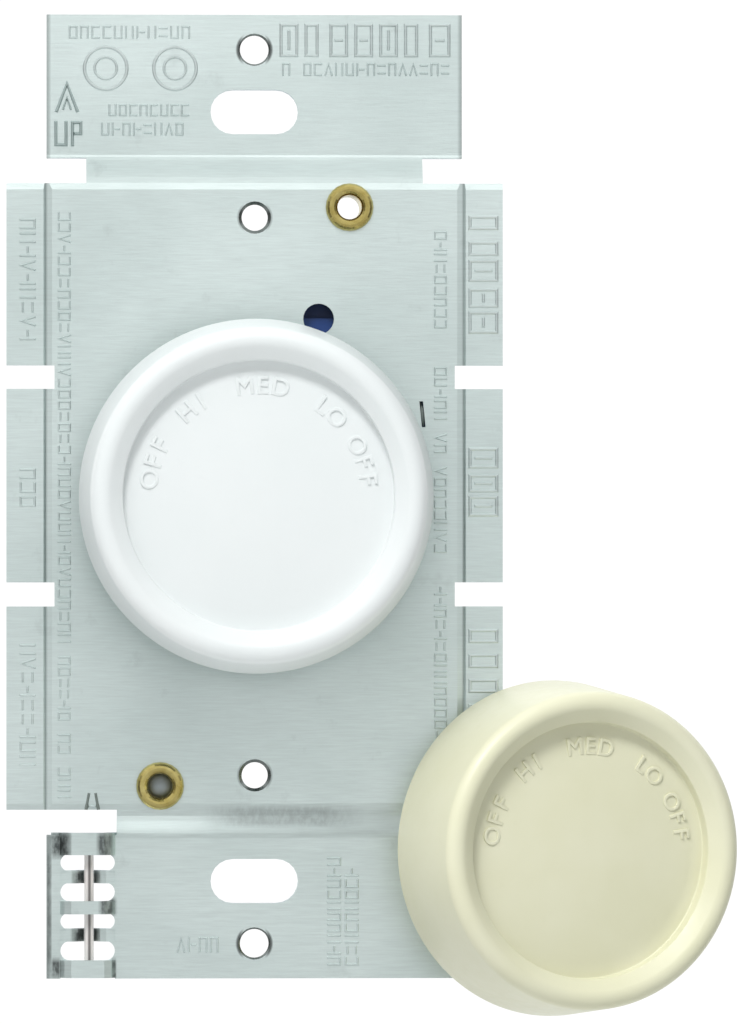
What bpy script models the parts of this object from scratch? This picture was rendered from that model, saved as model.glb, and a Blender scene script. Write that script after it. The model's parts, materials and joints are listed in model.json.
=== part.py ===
"""Rotary wall dimmer: aluminium mounting plate with snap-off fins, a two-part insulating housing,
a potentiometer with an end-of-travel switch, the dimming circuit, a push-on knob and a spare knob.

Metres, +Z up. The origin is on the shaft's axis, in the plane of the two straps' back faces, which lie
on the wall box. X runs to the right and -Y points out of the wall. Distances "front" are measured
from that plane out of the wall, so a point's Y is minus its front.
"""

import math

import bmesh
import bpy
from mathutils import Matrix, Vector

# Driving dimensions: the yoke's standard screw spacings and the sheet it is stamped from.
BOX_SCREW_SPACING = 0.08334
TOGGLE_COVER_SPACING = 0.060325
WIDE_COVER_SPACING = 0.09684
SHEET = 0.0016
PLATE_STEP = 0.0020

# Mounting plate outline.
STRAP_HALF_WIDTH = 0.0225
STRAP_END = 0.0522
STRAP_START = 0.03665
NECK_HALF_WIDTH = 0.0182
PLATE_HALF_WIDTH = 0.02685
PLATE_HALF_HEIGHT = 0.03387
FIN_GAPS = ((0.01163, 0.01417), (-0.0119, -0.0093))
FIN_GAP_END = 0.02165
SCORE_X = 0.0223
SCORE_MOUTH = 0.00065
SCORE_BOTTOM = 0.0003
SCORE_DEPTH = 0.00025
SCREW_HOLE = 0.00175
SLOT_LENGTH = 0.0095
SLOT_WIDTH = 0.0048
BEND_START = 0.0332
BEND_END = 0.0370
PLATE_BACK = PLATE_STEP
PLATE_FRONT = PLATE_STEP + SHEET
PEEP_HOLE = (0.0069, 0.0192, 0.00167)
HOOK_SLIT = (0.01815, 0.0089, 0.0004, 0.0028)
HOOK_SLIT_LEAN = 0.00028

# Ground-wire clamp: a window in the lower strap bridged by five bowed strips.
CLAMP_LEFT = -0.0210
CLAMP_RIGHT = -0.0151
CLAMP_NECK = -0.0149
CLAMP_STRIPS = (
    (-0.0388, -0.0364, 1),
    (-0.0419, -0.0405, -1),
    (-0.0452, -0.0438, 1),
    (-0.0482, -0.0468, -1),
    (-0.0521, -0.0502, 1),
)
STRIP_THICKNESS = 0.0012
CLAMP_POCKET = 0.0019
STRIP_BOW = {1: 0.00145, -1: 0.0011}
GROUND_WIRE_RADIUS = 0.00052
GROUND_WIRE_X = -0.0179
GROUND_WIRE_FRONT = 0.00098

# Housing.
GAP = 0.0001
HOUSING_HALF_WIDTH = 0.0210
HOUSING_HALF_HEIGHT = 0.0270
HOUSING_CORNER = 0.0030
HOUSING_WALL = 0.0020
COVER_FRONT = PLATE_BACK - GAP
COVER_BACK = -0.0001
CASE_FRONT = COVER_BACK - GAP
CASE_BACK = -0.0265
EAR_RADIUS = 0.0031
EAR_BACK = CASE_FRONT - 0.0025
EYELET = (0.01025, 0.0313)
EYELET_RADIUS = 0.00170
EYELET_BORE = 0.00130
EYELET_HEAD = 0.00260
LEAD_HOLES = ((-0.0090, -0.0180), (0.0090, -0.0180))
LEAD_HOLE_RADIUS = 0.0022
POST_X = 0.0160
POST_Z = 0.0220
POST_RADIUS = 0.0022

# Circuit board.
BOARD_HALF_WIDTH = 0.0183
BOARD_HALF_HEIGHT = 0.0243
BOARD_FRONT = -0.0160
BOARD_BACK = -0.0176
ON_BOARD = BOARD_FRONT + GAP

# Potentiometer.
SHAFT_RADIUS = 0.0030
SHAFT_TIP = 0.0175
SHAFT_STEP = -0.0070
SHAFT_REAR = -0.0136
SHAFT_REAR_RADIUS = 0.0020
SHAFT_FLAT = 0.0015
SHAFT_FLAT_START = 0.0098
GROOVE_RADIUS = 0.0025
GROOVE_BACK = 0.0064
GROOVE_FRONT = 0.0071
BUSHING_RADIUS = 0.00475
BUSHING_BORE = 0.0031
BUSHING_FRONT = 0.0063
BUSHING_FLANGE = 0.0063
POT_FRONT = -0.0012
POT_BACK = -0.0094
POT_RADIUS = 0.0085
POT_WALL = 0.0008

# End-of-travel switch behind the potentiometer.
SWITCH_LEFT = -0.0115
SWITCH_RIGHT = 0.0115
SWITCH_BOTTOM = -0.0075
SWITCH_TOP = 0.0125
SWITCH_FRONT = -0.0096
SWITCH_BACK = -0.0148
SWITCH_WALL = 0.0010
CAM_DWELL = 0.0050
CAM_LOBE = 0.0060
CAM_BACK = -0.0132
CAM_FRONT = -0.0112
TURN_LIMIT = math.radians(72)
LOBE_HALF_ANGLE = math.radians(9)
LEVER_PIVOT = (-0.0082, 0.0076)
LEVER_BACK = -0.0130
LEVER_FRONT = -0.0114
LEVER_HALF_HEIGHT = 0.0008
LEVER_END = 0.0088
CONTACT_X = 0.0076
CONTACT_RADIUS = 0.0009
PIN_RADIUS = 0.0009

# Knob. Heights are measured from its base.
KNOB_BASE = 0.0092
KNOB_RADIUS = 0.0191
KNOB_SHOULDER = 0.0180
KNOB_HEIGHT = 0.0125
RIM_ROUND = 0.0010
RIM_CREST = 0.0168
RIM_DROP = 0.0011
DISH_EDGE = 0.0145
DISH_DEPTH = 0.0028
DISH_CROWN = 0.0008
KNOB_WALL = 0.0016
KNOB_ROOF = 0.0010
HUB_RADIUS = 0.0055
HUB_BACK = 0.0010
HUB_BORE = 0.0031
HUB_FLAT = 0.00195
CLIP_THICKNESS = 0.0003
CLIP_END = 0.0079
RIB_THICKNESS = 0.0010
RIB_DEPTH = 0.0035

# Spare knob, a smaller size for the same shaft. It stands by the lower right corner, turned right.
SPARE_SCALE = 0.952
SPARE_PLACE = (0.0322, -0.0023, -0.0381)
SPARE_TURN = math.radians(20.5)

ROUND = 24
FINE_ROUND = 40
MERGE = 1e-6

# For a slab: the outline's two directions, then the direction of its thickness.
PLANES = {
    "wall": (Vector((1, 0, 0)), Vector((0, 0, 1)), Vector((0, -1, 0))),
    "side": (Vector((0, -1, 0)), Vector((0, 0, 1)), Vector((1, 0, 0))),
    "floor": (Vector((1, 0, 0)), Vector((0, -1, 0)), Vector((0, 0, 1))),
}


# ---------------------------------------------------------------- scene


def clear_scene():
    for obj in list(bpy.data.objects):
        bpy.data.objects.remove(obj)


def new_collection(name):
    made = bpy.data.collections.new(name)
    bpy.context.scene.collection.children.link(made)
    return made


def new_material(name, colour, roughness, metallic):
    made = bpy.data.materials.new(name)
    made.use_nodes = True
    shader = made.node_tree.nodes["Principled BSDF"]
    shader.inputs["Base Color"].default_value = (*colour, 1)
    shader.inputs["Roughness"].default_value = roughness
    shader.inputs["Metallic"].default_value = metallic
    return made


clear_scene()
PARTS = new_collection("rotary_dimmer")
TOOLS = new_collection("cutters")
ALUMINIUM = new_material("aluminium", (0.72, 0.75, 0.74), 0.38, 1.0)
BRASS = new_material("brass", (0.78, 0.62, 0.25), 0.28, 1.0)
STEEL = new_material("steel", (0.60, 0.60, 0.61), 0.30, 1.0)
COPPER = new_material("copper", (0.80, 0.42, 0.25), 0.30, 1.0)
BLUE_PLASTIC = new_material("blue_plastic", (0.03, 0.07, 0.22), 0.45, 0.0)
WHITE_PLASTIC = new_material("white_plastic", (0.86, 0.88, 0.87), 0.35, 0.0)
IVORY_PLASTIC = new_material("ivory_plastic", (0.78, 0.76, 0.58), 0.38, 0.0)
BLACK_PLASTIC = new_material("black_plastic", (0.03, 0.03, 0.03), 0.45, 0.0)
BOARD = new_material("board", (0.36, 0.27, 0.12), 0.55, 0.0)
PHENOLIC = new_material("phenolic", (0.30, 0.16, 0.07), 0.6, 0.0)
CARBON = new_material("carbon", (0.02, 0.02, 0.02), 0.7, 0.0)
FERRITE = new_material("ferrite", (0.08, 0.08, 0.09), 0.6, 0.0)
YELLOW_FILM = new_material("yellow_film", (0.75, 0.55, 0.08), 0.4, 0.0)
MICA = new_material("mica", (0.70, 0.68, 0.62), 0.4, 0.0)


def empty(name, place=(0, 0, 0), turn=0.0):
    made = bpy.data.objects.new(name, None)
    made.location = place
    made.rotation_euler.z = turn
    PARTS.objects.link(made)
    bpy.context.view_layer.update()
    return made


def add(name, mesh, material=None):
    """A new part, or a cutter where it has no material."""
    obj = bpy.data.objects.new(name, mesh)
    if material is None:
        TOOLS.objects.link(obj)
        obj.hide_render = True
        obj.display_type = "WIRE"
    else:
        PARTS.objects.link(obj)
        mesh.materials.append(material)
    return obj


def hang_on(parent, *objs):
    """Parents parts to an empty on their joint's axis, where they are."""
    for obj in objs:
        obj.parent = parent
        obj.matrix_parent_inverse = parent.matrix_world.inverted()


def boolean(obj, other, operation):
    modifier = obj.modifiers.new(operation.lower(), "BOOLEAN")
    modifier.operation = operation
    modifier.object = other


def cut(obj, *cutters):
    for cutter in cutters:
        boolean(obj, cutter, "DIFFERENCE")


def join(obj, *others):
    for other in others:
        boolean(obj, other, "UNION")


def bevel(obj, width, segments=2, angle=50):
    modifier = obj.modifiers.new("bevel", "BEVEL")
    modifier.width = width
    modifier.segments = segments
    modifier.limit_method = "ANGLE"
    modifier.angle_limit = math.radians(angle)


def settle(obj):
    """Makes the object's evaluated shape its own mesh, with its modifiers gone."""
    bpy.context.view_layer.update()
    evaluated = obj.evaluated_get(bpy.context.evaluated_depsgraph_get())
    mesh = bpy.data.meshes.new_from_object(evaluated)
    mesh.name = obj.name
    obj.modifiers.clear()
    obj.data = mesh
    return obj


def shade(obj, angle=35):
    """Shades the round sides smooth and leaves the edges sharp."""
    obj.data.shade_smooth()
    obj.data.set_sharp_from_angle(angle=math.radians(angle))
    return obj


# ---------------------------------------------------------------- shapes


def faces_outwards(mesh):
    work = bmesh.new()
    work.from_mesh(mesh)
    bmesh.ops.remove_doubles(work, verts=work.verts, dist=MERGE)
    bmesh.ops.recalc_face_normals(work, faces=work.faces)
    work.to_mesh(mesh)
    work.free()


def circle(x, z, radius, count=ROUND):
    steps = [2 * math.pi * k / count for k in range(count)]
    return [(x + radius * math.cos(a), z + radius * math.sin(a)) for a in steps]


def arc(x, z, radius, start, end, count):
    """Points of an arc from angle start to angle end, both in degrees."""
    angles = [math.radians(start + (end - start) * k / count) for k in range(count + 1)]
    return [(x + radius * math.cos(a), z + radius * math.sin(a)) for a in angles]


def rectangle(left, right, bottom, top):
    return [(left, bottom), (right, bottom), (right, top), (left, top)]


def round_rectangle(half_width, half_height, corner, count=5):
    x, z = half_width - corner, half_height - corner
    return (
        arc(x, z, corner, 0, 90, count)
        + arc(-x, z, corner, 90, 180, count)
        + arc(-x, -z, corner, 180, 270, count)
        + arc(x, -z, corner, 270, 360, count)
    )


def slot_outline(x, z, length, width):
    """A slot that runs along X, with round ends."""
    radius, reach = width / 2, (length - width) / 2
    return arc(x + reach, z, radius, -90, 90, 10) + arc(x - reach, z, radius, 90, 270, 10)


def ribbon(centre, thickness):
    """The outline of a strip of that thickness that follows a line of points."""
    left, right = [], []
    for k, (u, v) in enumerate(centre):
        before, after = centre[max(k - 1, 0)], centre[min(k + 1, len(centre) - 1)]
        along = Vector((after[0] - before[0], after[1] - before[1])).normalized()
        side = Vector((-along.y, along.x)) * thickness / 2
        left.append((u + side.x, v + side.y))
        right.append((u - side.x, v - side.y))
    return left + right[::-1]


def smooth(t):
    return t * t * (3 - 2 * t)


def slab(name, outlines, low, high, plane="wall", material=None):
    """A flat outline, with its holes inside it, made thick from low to high."""
    curve = bpy.data.curves.new(name, "CURVE")
    curve.dimensions = "2D"
    curve.fill_mode = "BOTH"
    curve.extrude = (high - low) / 2
    for points in outlines:
        spline = curve.splines.new("POLY")
        spline.points.add(len(points) - 1)
        for point, (u, v) in zip(spline.points, points):
            point.co = (u, v, 0, 1)
        spline.use_cyclic_u = True
    across, up, thick = PLANES[plane]
    turn = Matrix((across, up, across.cross(up))).transposed().to_4x4()
    flat = bpy.data.objects.new(name + "_outline", curve)
    TOOLS.objects.link(flat)
    flat.matrix_world = Matrix.Translation(thick * (low + high) / 2) @ turn
    bpy.context.view_layer.update()
    evaluated = flat.evaluated_get(bpy.context.evaluated_depsgraph_get())
    mesh = bpy.data.meshes.new_from_object(evaluated)
    faces_outwards(mesh)
    mesh.name = name
    obj = add(name, mesh, material)
    obj.matrix_world = flat.matrix_world
    bpy.data.objects.remove(flat)
    return shade(obj)


def box(name, low, high, material=None):
    """A box between two corners given as (x, front, z)."""
    corner_a = Vector((low[0], -low[1], low[2]))
    corner_b = Vector((high[0], -high[1], high[2]))
    size = corner_b - corner_a
    work = bmesh.new()
    bmesh.ops.create_cube(work, size=1, matrix=Matrix.Diagonal((*map(abs, size), 1)))
    mesh = bpy.data.meshes.new(name)
    work.to_mesh(mesh)
    work.free()
    obj = add(name, mesh, material)
    obj.location = (corner_a + corner_b) / 2
    return obj


def rod(name, radius, start, end, material=None, count=ROUND):
    """A round rod between two points given as (x, front, z)."""
    a = Vector((start[0], -start[1], start[2]))
    b = Vector((end[0], -end[1], end[2]))
    work = bmesh.new()
    bmesh.ops.create_cone(
        work, cap_ends=True, segments=count, radius1=radius, radius2=radius, depth=(b - a).length
    )
    mesh = bpy.data.meshes.new(name)
    work.to_mesh(mesh)
    work.free()
    obj = add(name, mesh, material)
    turn = (b - a).to_track_quat("Z", "Y").to_matrix().to_4x4()
    obj.matrix_world = Matrix.Translation((a + b) / 2) @ turn
    return shade(obj)


def turned(name, profile, material=None, x=0.0, z=0.0, count=ROUND):
    """A closed profile of (radius, front) points turned about an axis that points to the front."""
    on_axis = profile[0][0] == 0 and profile[-1][0] == 0
    last = len(profile) - 1
    edges = [(k, k + 1) for k in range(last)] + ([] if on_axis else [(last, 0)])
    mesh = bpy.data.meshes.new(name)
    mesh.from_pydata([(radius, 0, front) for radius, front in profile], edges, [])
    obj = add(name, mesh, material)
    screw = obj.modifiers.new("turn", "SCREW")
    screw.steps = screw.render_steps = count
    screw.use_merge_vertices = True
    screw.merge_threshold = 1e-5
    obj.rotation_euler.x = math.pi / 2
    obj.location = (x, 0, z)
    settle(obj)
    faces_outwards(obj.data)
    return shade(obj)


def wire(name, points, radius, material, closed=False, sides=1):
    """A round wire through points given as (x, front, z)."""
    curve = bpy.data.curves.new(name, "CURVE")
    curve.dimensions = "3D"
    curve.bevel_depth = radius
    curve.bevel_resolution = sides
    curve.use_fill_caps = not closed
    spline = curve.splines.new("POLY")
    spline.points.add(len(points) - 1)
    for point, (x, front, z) in zip(spline.points, points):
        point.co = (x, -front, z, 1)
    spline.use_cyclic_u = closed
    obj = bpy.data.objects.new(name, curve)
    curve.materials.append(material)
    PARTS.objects.link(obj)
    return obj


# ---------------------------------------------------------------- mounting plate


def bent_sheet():
    """The plate's side view: the middle stands in front of the two straps by PLATE_STEP."""
    steps = 8
    upper = []
    for k in range(steps + 1):
        t = k / steps
        front = PLATE_BACK + SHEET / 2 - PLATE_STEP * smooth(t)
        upper.append((front, BEND_START + (BEND_END - BEND_START) * t))
    upper.append((SHEET / 2, STRAP_END + 0.002))
    lower = [(front, -z) for front, z in upper[::-1]]
    return ribbon(lower + upper, SHEET)


def fin_side(side):
    """The right (1) or left (-1) edge of the plate's middle, top to bottom, with its fin gaps."""
    points = [(side * PLATE_HALF_WIDTH, PLATE_HALF_HEIGHT)]
    for bottom, top in FIN_GAPS:
        points += [(side * x, z) for x, z in (
            (PLATE_HALF_WIDTH, top),
            (FIN_GAP_END, top),
            (FIN_GAP_END, bottom),
            (PLATE_HALF_WIDTH, bottom),
        )]
    points.append((side * PLATE_HALF_WIDTH, -PLATE_HALF_HEIGHT))
    return points


def plate_outline():
    """The plate's outer edge, clockwise from the upper strap's left corner."""
    strap, end, start = STRAP_HALF_WIDTH, STRAP_END, STRAP_START
    neck, height = NECK_HALF_WIDTH, PLATE_HALF_HEIGHT
    right = [(strap, end), (strap, start), (neck, start), (neck, height)]
    right += fin_side(1)
    right += [(neck, -height), (neck, -start), (strap, -start), (strap, -end)]
    left = [(-strap, -end), (-strap, -start), (CLAMP_NECK, -start), (CLAMP_NECK, -height)]
    left += fin_side(-1)[::-1]
    left += [(-neck, height), (-neck, start), (-strap, start), (-strap, end)]
    return right + left


def plate_holes():
    holes = []
    for side in (1, -1):
        holes.append(circle(0, side * TOGGLE_COVER_SPACING / 2, SCREW_HOLE))
        holes.append(circle(0, side * WIDE_COVER_SPACING / 2, SCREW_HOLE))
        holes.append(slot_outline(0, side * BOX_SCREW_SPACING / 2, SLOT_LENGTH, SLOT_WIDTH))
        holes.append(circle(side * EYELET[0], side * EYELET[1], EYELET_RADIUS + 0.0001))
    holes.append(circle(0, 0, BUSHING_RADIUS + 0.00025, FINE_ROUND))
    holes.append(circle(*PEEP_HOLE))
    holes.append(circle(*TRIAC_HOLE))
    x, z, width, height = HOOK_SLIT
    corners = rectangle(-width / 2, width / 2, -height / 2, height / 2)
    holes.append([(x + across - up / height * HOOK_SLIT_LEAN, z + up) for across, up in corners])
    return holes


def clamp_windows():
    """The room for each strip, and the round-ended slots between the strips."""
    tool, margin = [], 0.00005
    for number, (bottom, top, _) in enumerate(CLAMP_STRIPS, 1):
        high = top - margin if number > 1 else -0.0355
        low = bottom + margin if number < len(CLAMP_STRIPS) else -0.056
        tool.append(box("strip_room", (CLAMP_LEFT, -0.005, low), (CLAMP_RIGHT, 0.005, high)))
    middle, length = (CLAMP_LEFT + CLAMP_RIGHT) / 2, CLAMP_RIGHT - CLAMP_LEFT
    for (above, _, _), (_, below, _) in zip(CLAMP_STRIPS, CLAMP_STRIPS[1:]):
        outline = slot_outline(middle, (above + below) / 2, length, above - below + 4 * margin)
        tool.append(slab("clamp_slot", [outline], -0.005, 0.005))
    return tool


def clamp_strip(number, bottom, top, way):
    """One bridge of the ground-wire clamp, bowed wide to the front (1) or narrowly to the back (-1)."""
    run, middle, inset = 0.0012, SHEET / 2, 0.0010
    left, right = CLAMP_LEFT, CLAMP_RIGHT
    if way < 0:
        left, right = GROUND_WIRE_X - CLAMP_POCKET, GROUND_WIRE_X + CLAMP_POCKET
    centre = [(CLAMP_LEFT - inset, middle)]
    for start, heights in ((left, (0, 1)), (right - run, (1, 0))):
        for k in range(5):
            t = smooth(k / 4)
            height = heights[0] + (heights[1] - heights[0]) * t
            centre.append((start + run * k / 4, middle + way * STRIP_BOW[way] * height))
    centre.append((CLAMP_RIGHT + inset, middle))
    outline = ribbon(centre, STRIP_THICKNESS)
    return slab(f"clamp_strip_{number}", [outline], bottom, top, "floor")


def heat_sink_plate():
    plate = slab("heat_sink_plate", [bent_sheet()], -0.03, 0.03, "side", ALUMINIUM)
    blank = slab("plate_blank", [plate_outline(), *plate_holes()], -0.005, 0.010)
    boolean(plate, blank, "INTERSECT")
    cut(plate, *clamp_windows())
    for side in (1, -1):
        mouth = PLATE_FRONT + 0.0001
        section = (
            (SCORE_X - SCORE_MOUTH, mouth),
            (SCORE_X + SCORE_BOTTOM, PLATE_FRONT - SCORE_DEPTH),
            (SCORE_X + SCORE_MOUTH, mouth),
        )
        groove = [(side * x, front) for x, front in section]
        cut(plate, slab("score_line", [groove], -0.035, 0.035, "floor"))
    for number, (bottom, top, way) in enumerate(CLAMP_STRIPS, 1):
        join(plate, clamp_strip(number, bottom, top, way))


def ground_wire():
    top, bottom = -0.0369, -0.0519
    rod(
        "ground_wire_end",
        GROUND_WIRE_RADIUS,
        (GROUND_WIRE_X, GROUND_WIRE_FRONT, bottom),
        (GROUND_WIRE_X, GROUND_WIRE_FRONT, top),
        COPPER,
        16,
    )


# ---------------------------------------------------------------- housing


def ear(name, side, back, front):
    """The rounded tab of a housing shell that an eyelet holds, reaching into the shell's own wall."""
    x, z = side * EYELET[0], side * EYELET[1]
    root = side * (HOUSING_HALF_HEIGHT - 0.0015)
    tip = arc(x, z, EAR_RADIUS, 0 if side > 0 else 180, 180 if side > 0 else 360, 12)
    outline = tip + [(x - side * EAR_RADIUS, root), (x + side * EAR_RADIUS, root)]
    return slab(name, [outline], back, front)


def eyelet_holes(name):
    return [
        rod(
            name,
            EYELET_RADIUS + 0.00015,
            (side * EYELET[0], -0.010, side * EYELET[1]),
            (side * EYELET[0], 0.010, side * EYELET[1]),
        )
        for side in (1, -1)
    ]


def bend_relief(side):
    """A wedge off an ear's tip, where the plate bends back towards the strap."""
    tip = [(COVER_FRONT, BEND_START - 0.0001), (0.00125, 0.0346), (0.0030, 0.0346)]
    return slab("bend_relief", [[(front, side * z) for front, z in tip]], -0.02, 0.02, "side")


def housing_front():
    outline = round_rectangle(HOUSING_HALF_WIDTH, HOUSING_HALF_HEIGHT, HOUSING_CORNER)
    shell = slab("housing_front", [outline], COVER_BACK, COVER_FRONT, "wall", BLUE_PLASTIC)
    join(shell, *[ear("cover_ear", side, COVER_BACK, COVER_FRONT) for side in (1, -1)])
    cut(shell, *[bend_relief(side) for side in (1, -1)])
    cut(shell, *eyelet_holes("cover_eyelet_hole"))
    cut(shell, rod("bushing_hole", BUSHING_RADIUS + 0.0004, (0, -0.003, 0), (0, 0.005, 0)))
    left, right, bottom, top = TRIAC_WINDOW
    cut(shell, box("triac_window", (left, -0.003, bottom), (right, 0.005, top)))
    x, z, radius = PEEP_HOLE
    pocket_floor, ledge = COVER_FRONT - 0.0016, z + 0.0001
    pocket = box(
        "peep_pocket",
        (x - radius - 0.0003, pocket_floor, ledge),
        (x + radius + 0.0003, COVER_FRONT + 0.001, z + radius + 0.0005),
    )
    cut(shell, pocket)


def housing_back():
    outline = round_rectangle(HOUSING_HALF_WIDTH, HOUSING_HALF_HEIGHT, HOUSING_CORNER)
    shell = slab("housing_back", [outline], CASE_BACK, CASE_FRONT, "wall", BLUE_PLASTIC)
    inner = round_rectangle(
        HOUSING_HALF_WIDTH - HOUSING_WALL, HOUSING_HALF_HEIGHT - HOUSING_WALL, 0.0015, 3
    )
    floor = CASE_BACK + HOUSING_WALL
    cut(shell, slab("case_hollow", [inner], floor, 0.005))
    join(shell, *[ear("case_ear", side, EAR_BACK, CASE_FRONT) for side in (1, -1)])
    cut(shell, *eyelet_holes("case_eyelet_hole"))
    for x in (-POST_X, POST_X):
        for z in (-POST_Z, POST_Z):
            post = rod("post", POST_RADIUS, (x, floor - 0.001, z), (x, BOARD_BACK - GAP, z), None, 12)
            join(shell, post)
    for x, z in LEAD_HOLES:
        cut(shell, rod("lead_hole", LEAD_HOLE_RADIUS, (x, CASE_BACK - 0.002, z), (x, floor + 0.002, z)))


def eyelet_profile(closed_end):
    """A rolled head on the plate, a tube through the ears and a flared tail behind them."""
    seat, tail = PLATE_FRONT + 0.00005, EAR_BACK - 0.00005
    bore, tube, head = EYELET_BORE, EYELET_RADIUS, EYELET_HEAD
    crown = 0.0008
    roll = (head - bore) / 2
    rim = [
        (bore + roll * (1 + math.cos(a)), seat + crown * math.sin(a))
        for a in (math.pi * k / 8 for k in range(9))
    ]
    flare = [(tube, seat), (tube, tail), (0.0024, tail), (0.0023, tail - 0.0005)]
    if closed_end:
        return [(0, tail - 0.0001), *rim[::-1], *flare, (0, tail - 0.0006)]
    return [*rim[::-1], *flare, (bore, tail - 0.0006)]


def eyelets():
    profile = eyelet_profile(False)
    turned("eyelet_upper", profile, BRASS, EYELET[0], EYELET[1])
    profile = eyelet_profile(True)
    profile.insert(1, (EYELET_BORE, EAR_BACK - 0.00015))
    turned("eyelet_lower", profile, BRASS, -EYELET[0], -EYELET[1])


# ---------------------------------------------------------------- potentiometer


def bushing():
    profile = [
        (BUSHING_RADIUS, BUSHING_FRONT),
        (BUSHING_RADIUS, -0.00015),
        (BUSHING_FLANGE, -0.00015),
        (BUSHING_FLANGE, POT_FRONT + 0.00005),
        (BUSHING_BORE, POT_FRONT + 0.00005),
        (BUSHING_BORE, BUSHING_FRONT),
    ]
    turned("pot_bushing", profile, BRASS, count=FINE_ROUND)


def bushing_fasteners():
    washer_back, washer_front, nut_front = PLATE_FRONT + 0.0001, 0.0043, 0.0061
    bore = BUSHING_RADIUS + 0.0001
    outline = circle(0, 0, 0.0079)
    slab("bushing_washer", [outline, circle(0, 0, bore, FINE_ROUND)],
         washer_back, washer_front, "wall", STEEL)
    hexagon = circle(0, 0, 0.0070 / math.cos(math.pi / 6), 6)
    slab("bushing_nut", [hexagon, circle(0, 0, bore, FINE_ROUND)],
         washer_front + 0.00005, nut_front, "wall", STEEL)


def pot_case():
    inner, hole = POT_RADIUS - POT_WALL, SHAFT_RADIUS + 0.0002
    profile = [
        (POT_RADIUS, POT_FRONT),
        (POT_RADIUS, POT_BACK),
        (inner, POT_BACK),
        (inner, POT_FRONT - POT_WALL),
        (hole, POT_FRONT - POT_WALL),
        (hole, POT_FRONT),
    ]
    turned("pot_case", profile, STEEL, count=FINE_ROUND)


def track():
    front, back = -0.0083, -0.0093
    outline = circle(0, 0, POT_RADIUS - POT_WALL - 0.0001, FINE_ROUND)
    hole = circle(0, 0, SHAFT_REAR_RADIUS + 0.0004)
    slab("track_wafer", [outline, hole], back, front, "wall", PHENOLIC)
    horseshoe = arc(0, 0, 0.0070, -55, 235, 28) + arc(0, 0, 0.0052, 235, -55, 28)
    slab("resistive_track", [horseshoe], front + 0.00005, front + 0.0002, "wall", CARBON)


def shaft():
    flat_end = 0.0005
    profile = [
        (0, SHAFT_TIP),
        (SHAFT_RADIUS - flat_end, SHAFT_TIP),
        (SHAFT_RADIUS, SHAFT_TIP - flat_end),
        (SHAFT_RADIUS, GROOVE_FRONT),
        (GROOVE_RADIUS, GROOVE_FRONT),
        (GROOVE_RADIUS, GROOVE_BACK),
        (SHAFT_RADIUS, GROOVE_BACK),
        (SHAFT_RADIUS, SHAFT_STEP),
        (SHAFT_REAR_RADIUS, SHAFT_STEP),
        (SHAFT_REAR_RADIUS, SHAFT_REAR),
        (0, SHAFT_REAR),
    ]
    made = turned("shaft", profile, WHITE_PLASTIC)
    cut(made, box("shaft_flat", (-0.005, SHAFT_FLAT_START, SHAFT_FLAT), (0.005, 0.020, 0.005)))
    return made


def retaining_ring():
    outline = arc(0, 0, 0.0044, -60, 240, 24) + arc(0, 0, GROOVE_RADIUS + 0.0001, 240, -60, 20)
    return slab("retaining_ring", [outline], 0.00645, 0.00700, "wall", STEEL)


def wiper():
    carrier = slab(
        "wiper_carrier",
        [circle(0, 0, 0.0068, FINE_ROUND), circle(0, 0, SHAFT_RADIUS + 0.00005)],
        -0.0056,
        -0.0030,
        "wall",
        BLACK_PLASTIC,
    )
    back, front = -0.0060, -0.0057
    outline = arc(0, 0, 0.0048, 105, 435, 24) + [(0.0007, 0.0068), (-0.0007, 0.0068)]
    contact = slab(
        "wiper_contact", [outline, circle(0, 0, SHAFT_RADIUS + 0.0002)], back, front, "wall", BRASS
    )
    join(contact, rod("wiper_dimple", 0.0005, (0, -0.0079, 0.0061), (0, back + 0.0001, 0.0061), None, 10))
    return carrier, contact


# ---------------------------------------------------------------- switch


def switch_case():
    case = box(
        "switch_case",
        (SWITCH_LEFT, SWITCH_BACK, SWITCH_BOTTOM),
        (SWITCH_RIGHT, SWITCH_FRONT, SWITCH_TOP),
        BLACK_PLASTIC,
    )
    hollow = box(
        "switch_hollow",
        (SWITCH_LEFT + SWITCH_WALL, SWITCH_BACK - 0.001, SWITCH_BOTTOM + SWITCH_WALL),
        (SWITCH_RIGHT - SWITCH_WALL, SWITCH_FRONT - SWITCH_WALL, SWITCH_TOP - SWITCH_WALL),
    )
    cut(case, hollow, rod("switch_shaft_hole", 0.0026, (0, -0.012, 0), (0, -0.008, 0)))


def switch_cam():
    """A disc with a lobe for each end of the travel, so that either end opens the contacts."""
    outline, count = [], 60
    for k in range(count):
        angle = 2 * math.pi * k / count
        offsets = [abs(math.remainder(angle - math.pi / 2 - way * TURN_LIMIT, 2 * math.pi)) for way in (1, -1)]
        rise = max(0.0, 1 - (min(offsets) / LOBE_HALF_ANGLE) ** 2)
        radius = CAM_DWELL + (CAM_LOBE - CAM_DWELL) * rise
        outline.append((radius * math.cos(angle), radius * math.sin(angle)))
    bore = circle(0, 0, SHAFT_REAR_RADIUS + 0.00005)
    return slab("switch_cam", [outline, bore], CAM_BACK, CAM_FRONT, "wall", WHITE_PLASTIC)


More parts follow.
